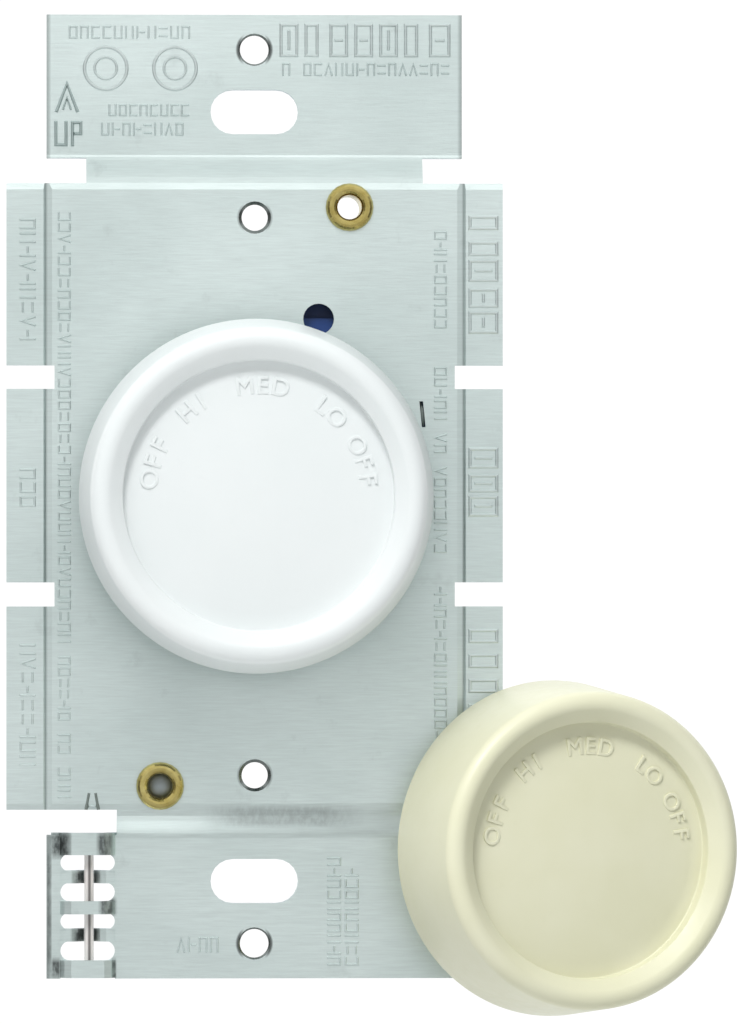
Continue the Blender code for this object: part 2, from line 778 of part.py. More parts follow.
def contact_lever():
    x, z = LEVER_PIVOT
    half, eye = LEVER_HALF_HEIGHT, 0.0018
    nose = 0.0063
    outline = arc(x, z, eye, 30, 330, 12)
    outline += [
        (-0.0009, z - half),
        (-0.0004, nose),
        (0.0004, nose),
        (0.0009, z - half),
        (LEVER_END, z - half),
        (LEVER_END, z + half),
    ]
    bore = circle(x, z, PIN_RADIUS + 0.0001)
    lever = slab("contact_lever", [outline, bore], LEVER_BACK, LEVER_FRONT, "wall", BRASS)
    middle = (LEVER_BACK + LEVER_FRONT) / 2
    button = rod(
        "moving_contact",
        CONTACT_RADIUS,
        (CONTACT_X, middle, 0.0062),
        (CONTACT_X, middle, z - half - 0.00005),
        STEEL,
        16,
    )
    return lever, button


def switch_fittings():
    x, z = LEVER_PIVOT
    wall = SWITCH_FRONT - SWITCH_WALL - GAP
    rod("lever_pivot_pin", PIN_RADIUS, (x, SWITCH_BACK, z), (x, wall, z), STEEL)
    box(
        "fixed_contact",
        (CONTACT_X - 0.0012, LEVER_BACK, 0.0050),
        (SWITCH_RIGHT - SWITCH_WALL - GAP, LEVER_FRONT, 0.0061),
        BRASS,
    )
    bottom, top = 0.0087, SWITCH_TOP - SWITCH_WALL - 0.0003
    turns, per_turn, radius = 4, 10, 0.0010
    middle = (LEVER_BACK + LEVER_FRONT) / 2
    points = []
    for k in range(turns * per_turn + 1):
        angle = 2 * math.pi * k / per_turn
        height = bottom + (top - bottom) * k / (turns * per_turn)
        points.append((0.0050 + radius * math.cos(angle), middle + radius * math.sin(angle), height))
    wire("lever_return_spring", points, 0.00018, STEEL)


# ---------------------------------------------------------------- circuit

# The triac lies across the plate's back, below the shaft, with its tab through the front shell's window.
TRIAC_Z = -0.0145
TRIAC_LEFT = -0.0053
TRIAC_BODY_LEFT = 0.0012
TRIAC_RIGHT = 0.0102
TRIAC_HALF = 0.0050
TRIAC_HOLE = (-0.0026, TRIAC_Z, 0.0017)
TRIAC_WINDOW = (TRIAC_LEFT - 0.0004, TRIAC_RIGHT + 0.0004, TRIAC_Z - 0.0054, TRIAC_Z + 0.0054)


def circuit_board():
    board = box(
        "circuit_board",
        (-BOARD_HALF_WIDTH, BOARD_BACK, -BOARD_HALF_HEIGHT),
        (BOARD_HALF_WIDTH, BOARD_FRONT, BOARD_HALF_HEIGHT),
        BOARD,
    )
    bevel(board, 0.0002, 1)


def triac():
    x, z, radius = TRIAC_HOLE
    sheet_back, sheet_front = 0.00175, 0.00190
    low, high = TRIAC_Z - TRIAC_HALF, TRIAC_Z + TRIAC_HALF
    hole = circle(x, z, radius + 0.0002)
    outline = rectangle(TRIAC_LEFT, TRIAC_RIGHT, low, high)
    slab("triac_insulator", [outline, hole], sheet_back, sheet_front, "wall", MICA)
    slab("triac_tab", [outline, hole], 0.0004, 0.0017, "wall", COPPER)
    body = box("triac_body", (TRIAC_BODY_LEFT, -0.0027, low), (TRIAC_RIGHT, 0.0003, high), BLACK_PLASTIC)
    bevel(body, 0.0003, 1)
    shank = radius - 0.00015
    profile = [
        (0, PLATE_FRONT + 0.0008),
        (0.0018, PLATE_FRONT + 0.0008),
        (0.0026, PLATE_FRONT + 0.0003),
        (0.0026, PLATE_FRONT + 0.0001),
        (shank, PLATE_FRONT + 0.0001),
        (shank, 0.0003),
        (0.0024, 0.0003),
        (0.0024, -0.0003),
        (0, -0.0003),
    ]
    turned("triac_rivet", profile, ALUMINIUM, x, z)


def triac_leads():
    """Three flat leads that leave the triac's right side and turn back to the board."""
    start, reach, front, corner = TRIAC_RIGHT + 0.0001, 0.0138, -0.0012, 0.0010
    bend = arc(reach - corner, front - corner, corner, 90, 0, 4)
    centre = [(start, front), *bend, (reach, ON_BOARD)]
    for number, offset in enumerate((-0.00254, 0, 0.00254), 1):
        z = TRIAC_Z + offset
        outline = ribbon(centre, 0.0005)
        slab(f"triac_lead_{number}", [outline], z - 0.0004, z + 0.0004, "floor", STEEL)


def choke():
    """A ferrite ring wound with enamelled wire, lying on the board below the switch."""
    x, z, front = -0.0090, -0.0165, -0.0115
    major, core, coil = 0.0048, 0.0015, 0.0020
    wire_radius, turns, per_turn = 0.00032, 22, 8
    ring = [(major + core * math.cos(a), front + core * math.sin(a))
            for a in (-2 * math.pi * k / 12 for k in range(12))]
    turned("choke_core", ring, FERRITE, x, z, 32)
    span = math.radians(330)
    points = []
    for k in range(turns * per_turn + 1):
        around = span * k / (turns * per_turn)
        twist = 2 * math.pi * k / per_turn
        radius = major + coil * math.cos(twist)
        points.append((
            x + radius * math.cos(around),
            front + coil * math.sin(twist),
            z + radius * math.sin(around),
        ))
    wire("choke_winding", points, wire_radius, COPPER, sides=0)


def small_components():
    film = box("filter_capacitor", (-0.0170, ON_BOARD, 0.0135), (-0.0050, -0.0070, 0.0235), YELLOW_FILM)
    bevel(film, 0.0005)
    timing = box("timing_capacitor", (-0.0030, ON_BOARD, 0.0140), (0.0045, -0.0095, 0.0190), YELLOW_FILM)
    bevel(timing, 0.0004)
    rod("resistor", 0.0012, (0.0070, -0.0142, 0.0160), (0.0135, -0.0142, 0.0160), PHENOLIC, 16)
    rod("diac", 0.0009, (0.0080, -0.0145, 0.0205), (0.0125, -0.0145, 0.0205), BLACK_PLASTIC, 16)


def terminals():
    """Two brass clips on the back of the board, each in front of its lead hole."""
    for name, (x, z) in zip(("line_terminal", "load_terminal"), LEAD_HOLES):
        back, base = CASE_BACK + HOUSING_WALL + 0.0012, BOARD_BACK - GAP
        blade = [(x - 0.0030, base - 0.0003), (x - 0.0024, base - 0.0003),
                 (x - 0.0022, base - 0.0008), (x - 0.0022, back)]
        mirrored = [(2 * x - u, v) for u, v in blade[::-1]]
        outline = ribbon(blade[::-1], 0.0005)
        clip = slab(name, [outline], z - 0.0018, z + 0.0018, "floor", BRASS)
        foot = box(name + "_foot", (x - 0.0030, base - 0.0005, z - 0.0018),
                   (x + 0.0030, base - 0.00005, z + 0.0018))
        other = slab(name + "_leg", [ribbon(mirrored, 0.0005)], z - 0.0018, z + 0.0018, "floor")
        join(clip, foot, other)


# ---------------------------------------------------------------- knobs


def knob_profile(scale):
    """(radius, height) of a knob's cap: over the dish, the rim and the side, and back inside."""
    dish = KNOB_HEIGHT - DISH_DEPTH
    ceiling = dish - KNOB_ROOF
    ledge = KNOB_HEIGHT - RIM_DROP
    rim = arc(KNOB_SHOULDER - RIM_ROUND, KNOB_HEIGHT - RIM_ROUND, RIM_ROUND, 0, 75, 6)
    profile = [
        (0, dish + DISH_CROWN),
        (DISH_EDGE * 0.5, dish + DISH_CROWN * 0.75),
        (DISH_EDGE - 0.0003, dish),
        (DISH_EDGE, dish + 0.0002),
        (DISH_EDGE + 0.0001, ledge - 0.0002),
        (DISH_EDGE + 0.0004, ledge),
        (RIM_CREST, KNOB_HEIGHT - 0.0001),
        *rim[::-1],
        (KNOB_RADIUS, 0.0003),
        (KNOB_RADIUS - 0.0003, 0),
        (KNOB_RADIUS - KNOB_WALL, 0),
        (KNOB_SHOULDER - KNOB_WALL - 0.0003, ceiling - 0.0012),
        (KNOB_SHOULDER - KNOB_WALL - 0.0015, ceiling),
        (0, ceiling),
    ]
    return [(radius * scale, height * scale) for radius, height in profile]


def knob_mesh(scale):
    """A knob standing on its base: a thin cap with ribs and a hub with a D-shaped bore."""
    ceiling = (KNOB_HEIGHT - DISH_DEPTH - KNOB_ROOF) * scale
    cap = turned("knob_cap", knob_profile(scale), WHITE_PLASTIC, count=48)
    join(cap, rod("hub", HUB_RADIUS, (0, HUB_BACK, 0), (0, ceiling + 0.0006, 0)))
    half, reach = RIB_THICKNESS / 2, (KNOB_SHOULDER - KNOB_WALL) * scale + 0.0003
    for x, z in ((reach, half), (half, reach)):
        join(cap, box("rib", (-x, ceiling - RIB_DEPTH, -z), (x, ceiling + 0.0005, z)))
    bore = rod("hub_bore", HUB_BORE, (0, HUB_BACK - 0.001, 0), (0, ceiling + 0.0001, 0))
    cut(bore, box("hub_flat", (-0.005, -0.010, HUB_FLAT), (0.005, 0.030, 0.005)))
    cut(cap, bore)
    settle(cap)
    return take_mesh(cap)


def clip_mesh():
    """The leaf spring in the hub that grips the shaft's flat."""
    middle, half = (SHAFT_FLAT + HUB_FLAT) / 2, CLIP_THICKNESS / 2
    outline = rectangle(HUB_BACK + 0.0004, CLIP_END, middle - half, middle + half)
    return take_mesh(slab("clip", [outline], -0.0015, 0.0015, "side", STEEL))


def take_mesh(obj):
    """An object's mesh with its placement worked into it, the object gone."""
    mesh = obj.data
    mesh.transform(obj.matrix_world)
    bpy.data.objects.remove(obj)
    return mesh


def knob(prefix, axis, place, scale, plastic):
    for name, mesh, material in (
        (prefix, knob_mesh(scale), plastic),
        (prefix + "_spring_clip", clip_mesh(), STEEL),
    ):
        mesh.name = name
        mesh.materials.clear()
        obj = add(name, mesh, material)
        obj.matrix_world = place
        hang_on(axis, obj)


def knobs():
    axis = empty("knob_axis", (0, -KNOB_BASE, 0))
    knob("knob", axis, axis.matrix_world.copy(), 1, WHITE_PLASTIC)
    axis = empty("spare_knob_axis", SPARE_PLACE, SPARE_TURN)
    knob("spare_knob", axis, axis.matrix_world.copy(), SPARE_SCALE, IVORY_PLASTIC)


# ---------------------------------------------------------------- assembly


def turning_parts():
    axis = empty("shaft_axis")
    hang_on(axis, shaft(), retaining_ring(), switch_cam(), *wiper())


def lever_parts():
    x, z = LEVER_PIVOT
    hang_on(empty("lever_pivot", (x, -(LEVER_BACK + LEVER_FRONT) / 2, z)), *contact_lever())


def build():
    heat_sink_plate()
    ground_wire()
    housing_front()
    housing_back()
    eyelets()
    bushing()
    bushing_fasteners()
    pot_case()
    track()
    turning_parts()
    switch_case()
    switch_fittings()
    lever_parts()
    circuit_board()
    triac()
    triac_leads()
    choke()
    small_components()
    terminals()
    knobs()


build()
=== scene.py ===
"""The looks of the rotary wall dimmer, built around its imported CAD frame.

Metres, in the CAD's own frame: the shaft's axis is the Y axis, -Y points out of the wall and +Z is up.
"Front" is the distance out of the wall, so a point's Y is minus its front.
"""

import json
import math
import random

import bmesh
import bpy
from mathutils import Matrix, Vector

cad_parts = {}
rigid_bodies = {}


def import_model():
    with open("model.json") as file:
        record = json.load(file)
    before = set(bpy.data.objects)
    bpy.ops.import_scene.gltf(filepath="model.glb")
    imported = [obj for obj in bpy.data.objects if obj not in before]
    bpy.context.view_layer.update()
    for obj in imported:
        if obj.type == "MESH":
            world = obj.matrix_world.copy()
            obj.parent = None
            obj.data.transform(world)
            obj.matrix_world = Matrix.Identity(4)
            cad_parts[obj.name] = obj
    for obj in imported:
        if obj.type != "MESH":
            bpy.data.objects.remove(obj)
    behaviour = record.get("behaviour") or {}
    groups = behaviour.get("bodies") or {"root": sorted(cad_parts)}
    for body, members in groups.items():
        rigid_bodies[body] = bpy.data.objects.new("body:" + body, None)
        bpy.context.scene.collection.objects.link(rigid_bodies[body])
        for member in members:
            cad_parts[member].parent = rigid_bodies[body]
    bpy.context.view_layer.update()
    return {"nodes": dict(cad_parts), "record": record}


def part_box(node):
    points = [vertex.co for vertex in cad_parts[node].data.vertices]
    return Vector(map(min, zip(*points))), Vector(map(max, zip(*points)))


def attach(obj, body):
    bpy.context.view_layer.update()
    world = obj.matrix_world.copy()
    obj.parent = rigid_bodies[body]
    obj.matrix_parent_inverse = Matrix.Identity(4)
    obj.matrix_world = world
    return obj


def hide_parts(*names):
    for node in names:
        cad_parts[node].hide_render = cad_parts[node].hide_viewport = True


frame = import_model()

# Where the camera stands, by the plate's own plane.
VIEW_CENTRE = (0.01279, -0.0036, -0.00168)
VIEW_HEIGHT = 0.1108
VIEW_DISTANCE = 1.1
VIEW_LEFT = math.radians(2.2)
VIEW_BELOW = math.radians(0.2)
SENSOR = 36

# The studio's light: the world's radiance in front, how it rises upwards, how much more comes from
# behind, how much less from the far left and right, and how much more shows in reflections.
AMBIENT = 0.42
RISE = 0.24
BEHIND = 0.40
SIDES_DARKER = 0.50
MIRRORED = 0.26

PLATE_FRONT = -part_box("heat_sink_plate")[0].y
STRAP_FRONT = 0.0016
MARK_HEIGHT = 0.00014
SCORE_BOTTOM_X = 0.0226
# The small screw holes' heights above and below the shaft.
TOGGLE_SCREW_Z = 0.030165
WIDE_SCREW_Z = 0.04842
# Where a line of painted shadow runs along the ground wire, beside the clamp.
WIRE_SHADOW_LINE_X = -0.01786
FLOOR_Z = -0.17
FLOOR_RADIUS = 0.75

KNOB_BASE = -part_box("knob")[1].y
KNOB_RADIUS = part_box("knob")[1].x
KNOB_HEIGHT = -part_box("knob")[0].y - KNOB_BASE
KNOB_SHOULDER = 0.0180
KNOB_WALL = 0.0016
KNOB_ROOF = 0.0010
RIM_ROUND = 0.0014
RIM_DROP = 0.0011
DISH_EDGE = 0.0145
DISH_DEPTH = 0.0028
DISH_FLOOR = KNOB_HEIGHT - DISH_DEPTH
DISH_CROWN = 0.0008
KNOB_CEILING = DISH_FLOOR - KNOB_ROOF
SPARE_SCALE = 0.952
SPARE_PLACE = Vector((0.0322, -0.0023, -0.0381))
SPARE_TURN = math.radians(20.5)

# Painted shade and dark reflections round the clamp, and a painted shadow on the lower ramp: x, z,
# reach in x and in z, and how much of the plate's own tone is left there.
PAINTED_SHADE_PATCHES = (
    (-0.0210, -0.0377, 0.0013, 0.0017, 0.16),
    (-0.0162, -0.0377, 0.0010, 0.0017, 0.22),
    (-0.0182, -0.0414, 0.0017, 0.0010, 0.14),
    (-0.0159, -0.0444, 0.0011, 0.0012, 0.25),
    (-0.0183, -0.0475, 0.0017, 0.0011, 0.14),
    (-0.0215, -0.0512, 0.0006, 0.0014, 0.20),
    (-0.0152, -0.0512, 0.0003, 0.0014, 0.30),
    (-0.0222, -0.0444, 0.0003, 0.0100, 0.45),
    (0.0030, -0.0346, 0.0090, 0.0014, 0.70),
)


# ---------------------------------------------------------------- materials


class Shader:
    """A new material's node tree, with short ways to add its nodes."""

    def __init__(self, name, roughness, metallic=0.0):
        self.material = bpy.data.materials.new(name)
        self.material.use_nodes = True
        self.tree = self.material.node_tree
        self.main = self.tree.nodes["Principled BSDF"]
        self.main.inputs["Roughness"].default_value = roughness
        self.main.inputs["Metallic"].default_value = metallic

    def node(self, kind, inputs=(), **settings):
        made = self.tree.nodes.new("ShaderNode" + kind)
        for key, value in settings.items():
            setattr(made, key, value)
        for key, value in dict(inputs).items():
            if isinstance(value, bpy.types.NodeSocket):
                self.tree.links.new(value, made.inputs[key])
            else:
                made.inputs[key].default_value = value
        return made

    def place(self, stretch):
        """The point on the object, in metres, stretched along each axis."""
        where = self.node("TexCoord").outputs["Object"]
        return self.node("Mapping", {"Vector": where, "Scale": stretch}).outputs["Vector"]

    def noise(self, stretch, detail=3.0, roughness=0.5):
        inputs = {"Vector": self.place(stretch), "Scale": 1.0, "Detail": detail, "Roughness": roughness}
        return self.node("TexNoise", inputs).outputs["Fac"]

    def remap(self, value, low, high, to_low, to_high):
        inputs = {"Value": value, "From Min": low, "From Max": high, "To Min": to_low, "To Max": to_high}
        return self.node("MapRange", inputs).outputs["Result"]

    def blend(self, factor, first, second, how="MIX"):
        mixer = self.node("Mix", data_type="RGBA", blend_type=how)
        for key, value in ((0, factor), (6, first), (7, second)):
            if isinstance(value, bpy.types.NodeSocket):
                self.tree.links.new(value, mixer.inputs[key])
            elif key == 0:
                mixer.inputs[key].default_value = value
            else:
                mixer.inputs[key].default_value = (*value, 1)
        return mixer.outputs[2]

    def add(self, first, second, weight=1.0):
        product = self.node("Math", {0: second, 1: weight}, operation="MULTIPLY").outputs[0]
        return self.node("Math", {0: first, 1: product}, operation="ADD").outputs[0]

    def multiply(self, first, second):
        return self.node("Math", {0: first, 1: second}, operation="MULTIPLY").outputs[0]

    def subtract(self, first, second):
        return self.node("Math", {0: first, 1: second}, operation="SUBTRACT").outputs[0]

    def absolute(self, value):
        return self.node("Math", {0: value}, operation="ABSOLUTE").outputs[0]

    def along(self, axis, middle=0.0):
        """How far the point is along that axis from the middle, on either side."""
        where = self.node("TexCoord").outputs["Object"]
        value = self.node("SeparateXYZ", {0: where}).outputs[axis]
        return self.absolute(self.subtract(value, middle))

    def beside_score(self):
        """The distance across the plate from the bottom of the nearer score line."""
        return self.absolute(self.subtract(self.along("X"), SCORE_BOTTOM_X))

    def patch(self, x, z, reach_x, reach_z):
        """1 around that point, falling to 0 at those distances from it."""
        across = self.remap(self.along("X", x), 0.5 * reach_x, reach_x, 1, 0)
        return self.multiply(across, self.remap(self.along("Z", z), 0.5 * reach_z, reach_z, 1, 0))

    def beside_screw_hole(self, height, rim):
        """1 against the left and right edges of the two screw holes at that height, above and below."""
        across = self.along("X")
        rise = self.subtract(self.along("Z"), height)
        square = self.add(self.multiply(across, across), self.multiply(rise, rise))
        distance = self.node("Math", {0: square, 1: 0.5}, operation="POWER").outputs[0]
        at_sides = self.remap(across, 0.0011, 0.0016, 0, 1)
        return self.multiply(self.remap(distance, rim, rim + 0.0002, 1, 0), at_sides)

    def shade(self, tone, patch, darkest):
        """That tone, darker where the patch is."""
        return self.multiply(tone, self.remap(patch, 0, 1, 1.0, darkest))

    def set_colour(self, colour, tone):
        """Sets the base colour to that colour times that tone."""
        grey = self.node("CombineColor", {"Red": tone, "Green": tone, "Blue": tone}).outputs["Color"]
        self.set("Base Color", self.blend(1.0, colour, grey, "MULTIPLY"))

    def set(self, socket, value):
        self.tree.links.new(value, self.main.inputs[socket])

    def bump(self, height, distance, strength=1.0):
        inputs = {"Height": height, "Distance": distance, "Strength": strength}
        self.set("Normal", self.node("Bump", inputs).outputs["Normal"])


def plate_metal(name, light, dark, roughness):
    """Rolled sheet: short fine streaks along X, soft clouds and smudges. Painted shade darkens it in the
    score lines, at the straps' edges, beside the small screw holes and in the patches round the clamp
    and on the lower ramp."""
    shader = Shader(name, roughness, 0.9)
    streaks = shader.noise((330, 330, 5200), 3, 0.6)
    fine = shader.noise((1300, 1300, 9500), 2, 0.5)
    clouds = shader.noise((42, 60, 55), 3, 0.5)
    smudges = shader.noise((330, 300, 260), 4, 0.6)
    colour = shader.blend(shader.remap(clouds, 0.35, 0.65, 0, 1), light, dark)
    tone = shader.remap(streaks, 0.3, 0.7, 0.945, 1.04)
    tone = shader.multiply(tone, shader.remap(smudges, 0.62, 0.80, 1.0, 0.86))
    # Painted shade along the bottoms of the score lines.
    tone = shader.multiply(tone, shader.remap(shader.beside_score(), 0.00005, 0.00022, 0.70, 1.0))
    # Painted shade along the straps' edges, for the dark reflection in their rounded edges.
    on_strap = shader.remap(shader.along("Z"), 0.0340, 0.0345, 0, 1)
    strap_edge_shade = shader.remap(shader.along("X"), 0.0220, 0.0223, 0, 1)
    tone = shader.shade(tone, shader.multiply(on_strap, strap_edge_shade), 0.66)
    # Painted dark reflections at the left and right of the small screw holes' rims.
    tone = shader.shade(tone, shader.beside_screw_hole(TOGGLE_SCREW_Z, 0.00178), 0.55)
    tone = shader.shade(tone, shader.beside_screw_hole(WIDE_SCREW_Z, 0.00186), 0.22)
    # Painted shade and dark reflections round the clamp and on the lower ramp, broken up by noise.
    drawn = shader.remap(shader.noise((1900, 900, 900), 3, 0.6), 0.36, 0.58, 0.6, 1.0)
    for x, z, reach_x, reach_z, darkest in PAINTED_SHADE_PATCHES:
        tone = shader.shade(tone, shader.multiply(shader.patch(x, z, reach_x, reach_z), drawn), darkest)
    shader.set_colour(colour, tone)
    uneven = shader.add(streaks, clouds, 0.5)
    shader.set("Roughness", shader.remap(uneven, 0.5, 1.0, roughness - 0.07, roughness + 0.07))
    shader.bump(shader.add(streaks, fine, 0.5), 0.00003, 0.3)
    return shader.material


def turned_metal(name, light, dark, roughness):
    """Bright drawn or turned metal with tarnish clouds and a fine grain."""
    shader = Shader(name, roughness, 1.0)
    clouds = shader.noise((500, 500, 500), 4, 0.6)
    fine = shader.noise((9000, 1500, 9000), 2, 0.5)
    shader.set("Base Color", shader.blend(shader.remap(clouds, 0.35, 0.7, 0, 1), light, dark))
    shader.set("Roughness", shader.remap(clouds, 0.3, 0.7, roughness - 0.06, roughness + 0.12))
    shader.bump(fine, 0.00002, 0.3)
    return shader.material


def drawn_wire(name, light, dark, roughness):
    """Bare drawn wire, clouded, with a dark line of painted shadow along it where the clamp grips."""
    shader = Shader(name, roughness, 0.2)
    clouds = shader.noise((500, 500, 500), 4, 0.6)
    colour = shader.blend(shader.remap(clouds, 0.35, 0.7, 0, 1), light, dark)
    # Painted shadow: a dark line along the wire where the clamp grips.
    tone = shader.remap(shader.along("X", WIRE_SHADOW_LINE_X), 0.00008, 0.00024, 0.22, 1.0)
    shader.set_colour(colour, tone)
    shader.bump(shader.noise((9000, 9000, 900), 2, 0.5), 0.00002, 0.3)
    return shader.material


def moulded_plastic(name, light, dark, roughness, texture=4000, depth=0.00002):
    """Moulded plastic: barely clouded colour, a fine spark-eroded texture and uneven gloss."""
    shader = Shader(name, roughness)
    clouds = shader.noise((70, 70, 70), 3, 0.5)
    specks = shader.noise((900, 900, 900), 4, 0.6)
    texture_noise = shader.noise((texture, texture, texture), 2, 0.5)
    colour = shader.blend(shader.remap(clouds, 0.35, 0.65, 0, 1), light, dark)
    shade = tuple(0.9 * c for c in dark)
    shader.set("Base Color", shader.blend(shader.remap(specks, 0.62, 0.78, 0, 0.15), colour, shade))
    shader.set("Roughness", shader.remap(specks, 0.3, 0.7, roughness - 0.05, roughness + 0.07))
    shader.bump(shader.add(texture_noise, specks, 0.5), depth, 0.25)
    return shader.material


def laminate(name, light, dark):
    """Resin-bonded paper: fibres both ways under a dull varnish."""
    shader = Shader(name, 0.5)
    across = shader.noise((300, 300, 4000), 3, 0.6)
    along = shader.noise((4000, 300, 300), 3, 0.6)
    fibres = shader.add(across, along)
    shader.set("Base Color", shader.blend(shader.remap(fibres, 0.8, 1.2, 0, 1), light, dark))
    shader.bump(fibres, 0.00002, 0.3)
    return shader.material


MATERIALS = {
    "aluminium": plate_metal("rolled_aluminium", (0.79, 0.875, 0.86), (0.70, 0.785, 0.77), 0.45),
    "brass": turned_metal("eyelet_brass", (0.74, 0.62, 0.25), (0.52, 0.40, 0.11), 0.20),
    "steel": turned_metal("zinc_plated_steel", (0.66, 0.67, 0.66), (0.52, 0.53, 0.54), 0.30),
    "copper": turned_metal("bare_copper", (0.84, 0.66, 0.58), (0.62, 0.42, 0.33), 0.28),
    "blue_plastic": moulded_plastic("housing_blue", (0.028, 0.075, 0.27), (0.018, 0.05, 0.19), 0.42),
    "white_plastic": moulded_plastic("knob_white", (0.83, 0.86, 0.86), (0.81, 0.845, 0.845), 0.36),
    "ivory_plastic": moulded_plastic("knob_ivory", (0.71, 0.70, 0.53), (0.67, 0.66, 0.475), 0.36),
    "black_plastic": moulded_plastic("black_phenolic", (0.035, 0.035, 0.035), (0.02, 0.02, 0.022), 0.45),
    "board": laminate("board_laminate", (0.42, 0.31, 0.13), (0.33, 0.23, 0.09)),
    "phenolic": laminate("brown_phenolic", (0.34, 0.18, 0.08), (0.24, 0.12, 0.05)),
    "carbon": moulded_plastic("carbon_ink", (0.025, 0.025, 0.025), (0.015, 0.015, 0.015), 0.7),
    "ferrite": moulded_plastic("powdered_iron", (0.09, 0.09, 0.10), (0.06, 0.06, 0.07), 0.6, 2500, 0.00005),
    "yellow_film": moulded_plastic("dipped_resin", (0.78, 0.56, 0.08), (0.70, 0.48, 0.05), 0.3),
    "mica": moulded_plastic("mica_sheet", (0.72, 0.70, 0.62), (0.62, 0.60, 0.53), 0.3),
}
BURNISHED = plate_metal("burnished_aluminium", (0.86, 0.92, 0.91), (0.78, 0.85, 0.84), 0.40)
WIRE_METAL = drawn_wire("ground_wire_metal", (0.97, 0.92, 0.90), (0.90, 0.83, 0.80), 0.36)
# The tapped threads' dark metal is painted shade, for the shadow and dark reflections in the holes.
THREAD_SHADE_METAL = turned_metal("tapped_thread_painted_shade", (0.32, 0.35, 0.34), (0.24, 0.27, 0.26), 0.20)
# The arrow and UP get a darker metal: painted shade for the shadow in their stamped strokes.
UP_MARK_SHADE_METAL = plate_metal("up_mark_painted_shade", (0.62, 0.69, 0.68), (0.54, 0.61, 0.60), 0.42)
NICK_SHADE = moulded_plastic("nick_shade", (0.17, 0.20, 0.185), (0.12, 0.15, 0.14), 0.6)


def dress_cad_nodes():
    for row in frame["record"]["subparts"]:
        node = frame["nodes"][row["node"]]
        node.data.materials.clear()
        node.data.materials.append(MATERIALS[row["material_slot"]])
        node.data.shade_smooth()
        node.data.set_sharp_from_angle(angle=math.radians(32))
    frame["nodes"]["ground_wire_end"].data.materials[0] = WIRE_METAL


def soften_edges(node, width, segments=2):
    modifier = frame["nodes"][node].modifiers.new("edges", "BEVEL")
    modifier.width = width
    modifier.segments = segments
    modifier.limit_method = "ANGLE"
    modifier.angle_limit = math.radians(35)
    modifier.harden_normals = True


# ---------------------------------------------------------------- pieces


def new_piece(name, mesh, slot, body):
    obj = bpy.data.objects.new(name, mesh)
    bpy.context.scene.collection.objects.link(obj)
    mesh.materials.append(MATERIALS[slot])
    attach(obj, body)
    return obj


def finish_mesh(name, work, angle=30):
    bmesh.ops.recalc_face_normals(work, faces=work.faces)
    mesh = bpy.data.meshes.new(name)
    work.to_mesh(mesh)
    work.free()
    mesh.shade_smooth()
    mesh.set_sharp_from_angle(angle=math.radians(angle))
    return mesh


def arc(x, y, radius, start, end, count):
    """Points of an arc from angle start to angle end, both in degrees."""
    angles = [math.radians(start + (end - start) * k / count) for k in range(count + 1)]
    return [(x + radius * math.cos(a), y + radius * math.sin(a)) for a in angles]


def lathe(work, profile, count):
    """Turns a (radius, height) profile about the Y axis, height towards -Y. It closes off the axis too."""
    rings = []
    for radius, height in profile:
        if radius == 0:
            rings.append([work.verts.new((0, -height, 0))] * count)
            continue
        steps = [2 * math.pi * k / count for k in range(count)]
        rings.append([work.verts.new((radius * math.cos(a), -height, radius * math.sin(a))) for a in steps])
    for k in range(len(rings) if profile[-1][0] else len(rings) - 1):
        ring, following = rings[k], rings[(k + 1) % len(rings)]
        for j in range(count):
            corners = [ring[j], ring[(j + 1) % count], following[(j + 1) % count], following[j]]
            unique = list(dict.fromkeys(corners))
            if len(unique) > 2:
                work.faces.new(unique)


# ---------------------------------------------------------------- stamped marks


class Stamp:
    """Raised lines on the plate, with sloping sides."""

    def __init__(self, name, front, height=MARK_HEIGHT):
        self.name, self.front, self.height = name, front, height
        self.work = bmesh.new()

    def line(self, points, width, closed=False):
        """A raised line of that width through (x, z) points, mitred where it turns."""
        points = [Vector(point) for point in points]
        count, half = len(points), width / 2
        slope, sunk = min(0.40 * width, 0.00016), 0.00003
        sections = []
        for k, point in enumerate(points):
            before = points[k - 1] if closed or k else None
            after = points[(k + 1) % count] if closed or k < count - 1 else None
            ways = [(b - a).normalized() for a, b in ((before, point), (point, after)) if a and b]
            along = sum(ways, Vector((0, 0))).normalized()
            side = Vector((-along.y, along.x))
            stretch = 1 / max(0.5, side.dot(Vector((-ways[0].y, ways[0].x))))
            end = 0 if len(ways) == 2 else (1 if before else -1)
            section = []
            for reach, lift in ((-half, 0), (-half + slope, 1), (half - slope, 1), (half, 0)):
                place = point + side * reach * stretch + along * end * (half - slope * lift)
                depth = -self.front - self.height if lift else -self.front + sunk
                section.append(self.work.verts.new((place.x, depth, place.y)))
            sections.append(section)
        pairs = list(zip(sections, sections[1:])) + ([(sections[-1], sections[0])] if closed else [])
        for first, second in pairs:
            for k in range(4):
                after = (k + 1) % 4
                self.work.faces.new((first[k], second[k], second[after], first[after]))
        if not closed:
            self.work.faces.new(sections[0])
            self.work.faces.new(sections[-1])

    def ring(self, centre, radius, width, count=40):
        steps = [2 * math.pi * k / count for k in range(count)]
        points = [(centre[0] + radius * math.cos(a), centre[1] + radius * math.sin(a)) for a in steps]
        self.line(points, width, True)

    def done(self, material=BURNISHED):
        piece = new_piece(self.name, finish_mesh(self.name, self.work), "aluminium", "device")
        piece.data.materials[0] = material


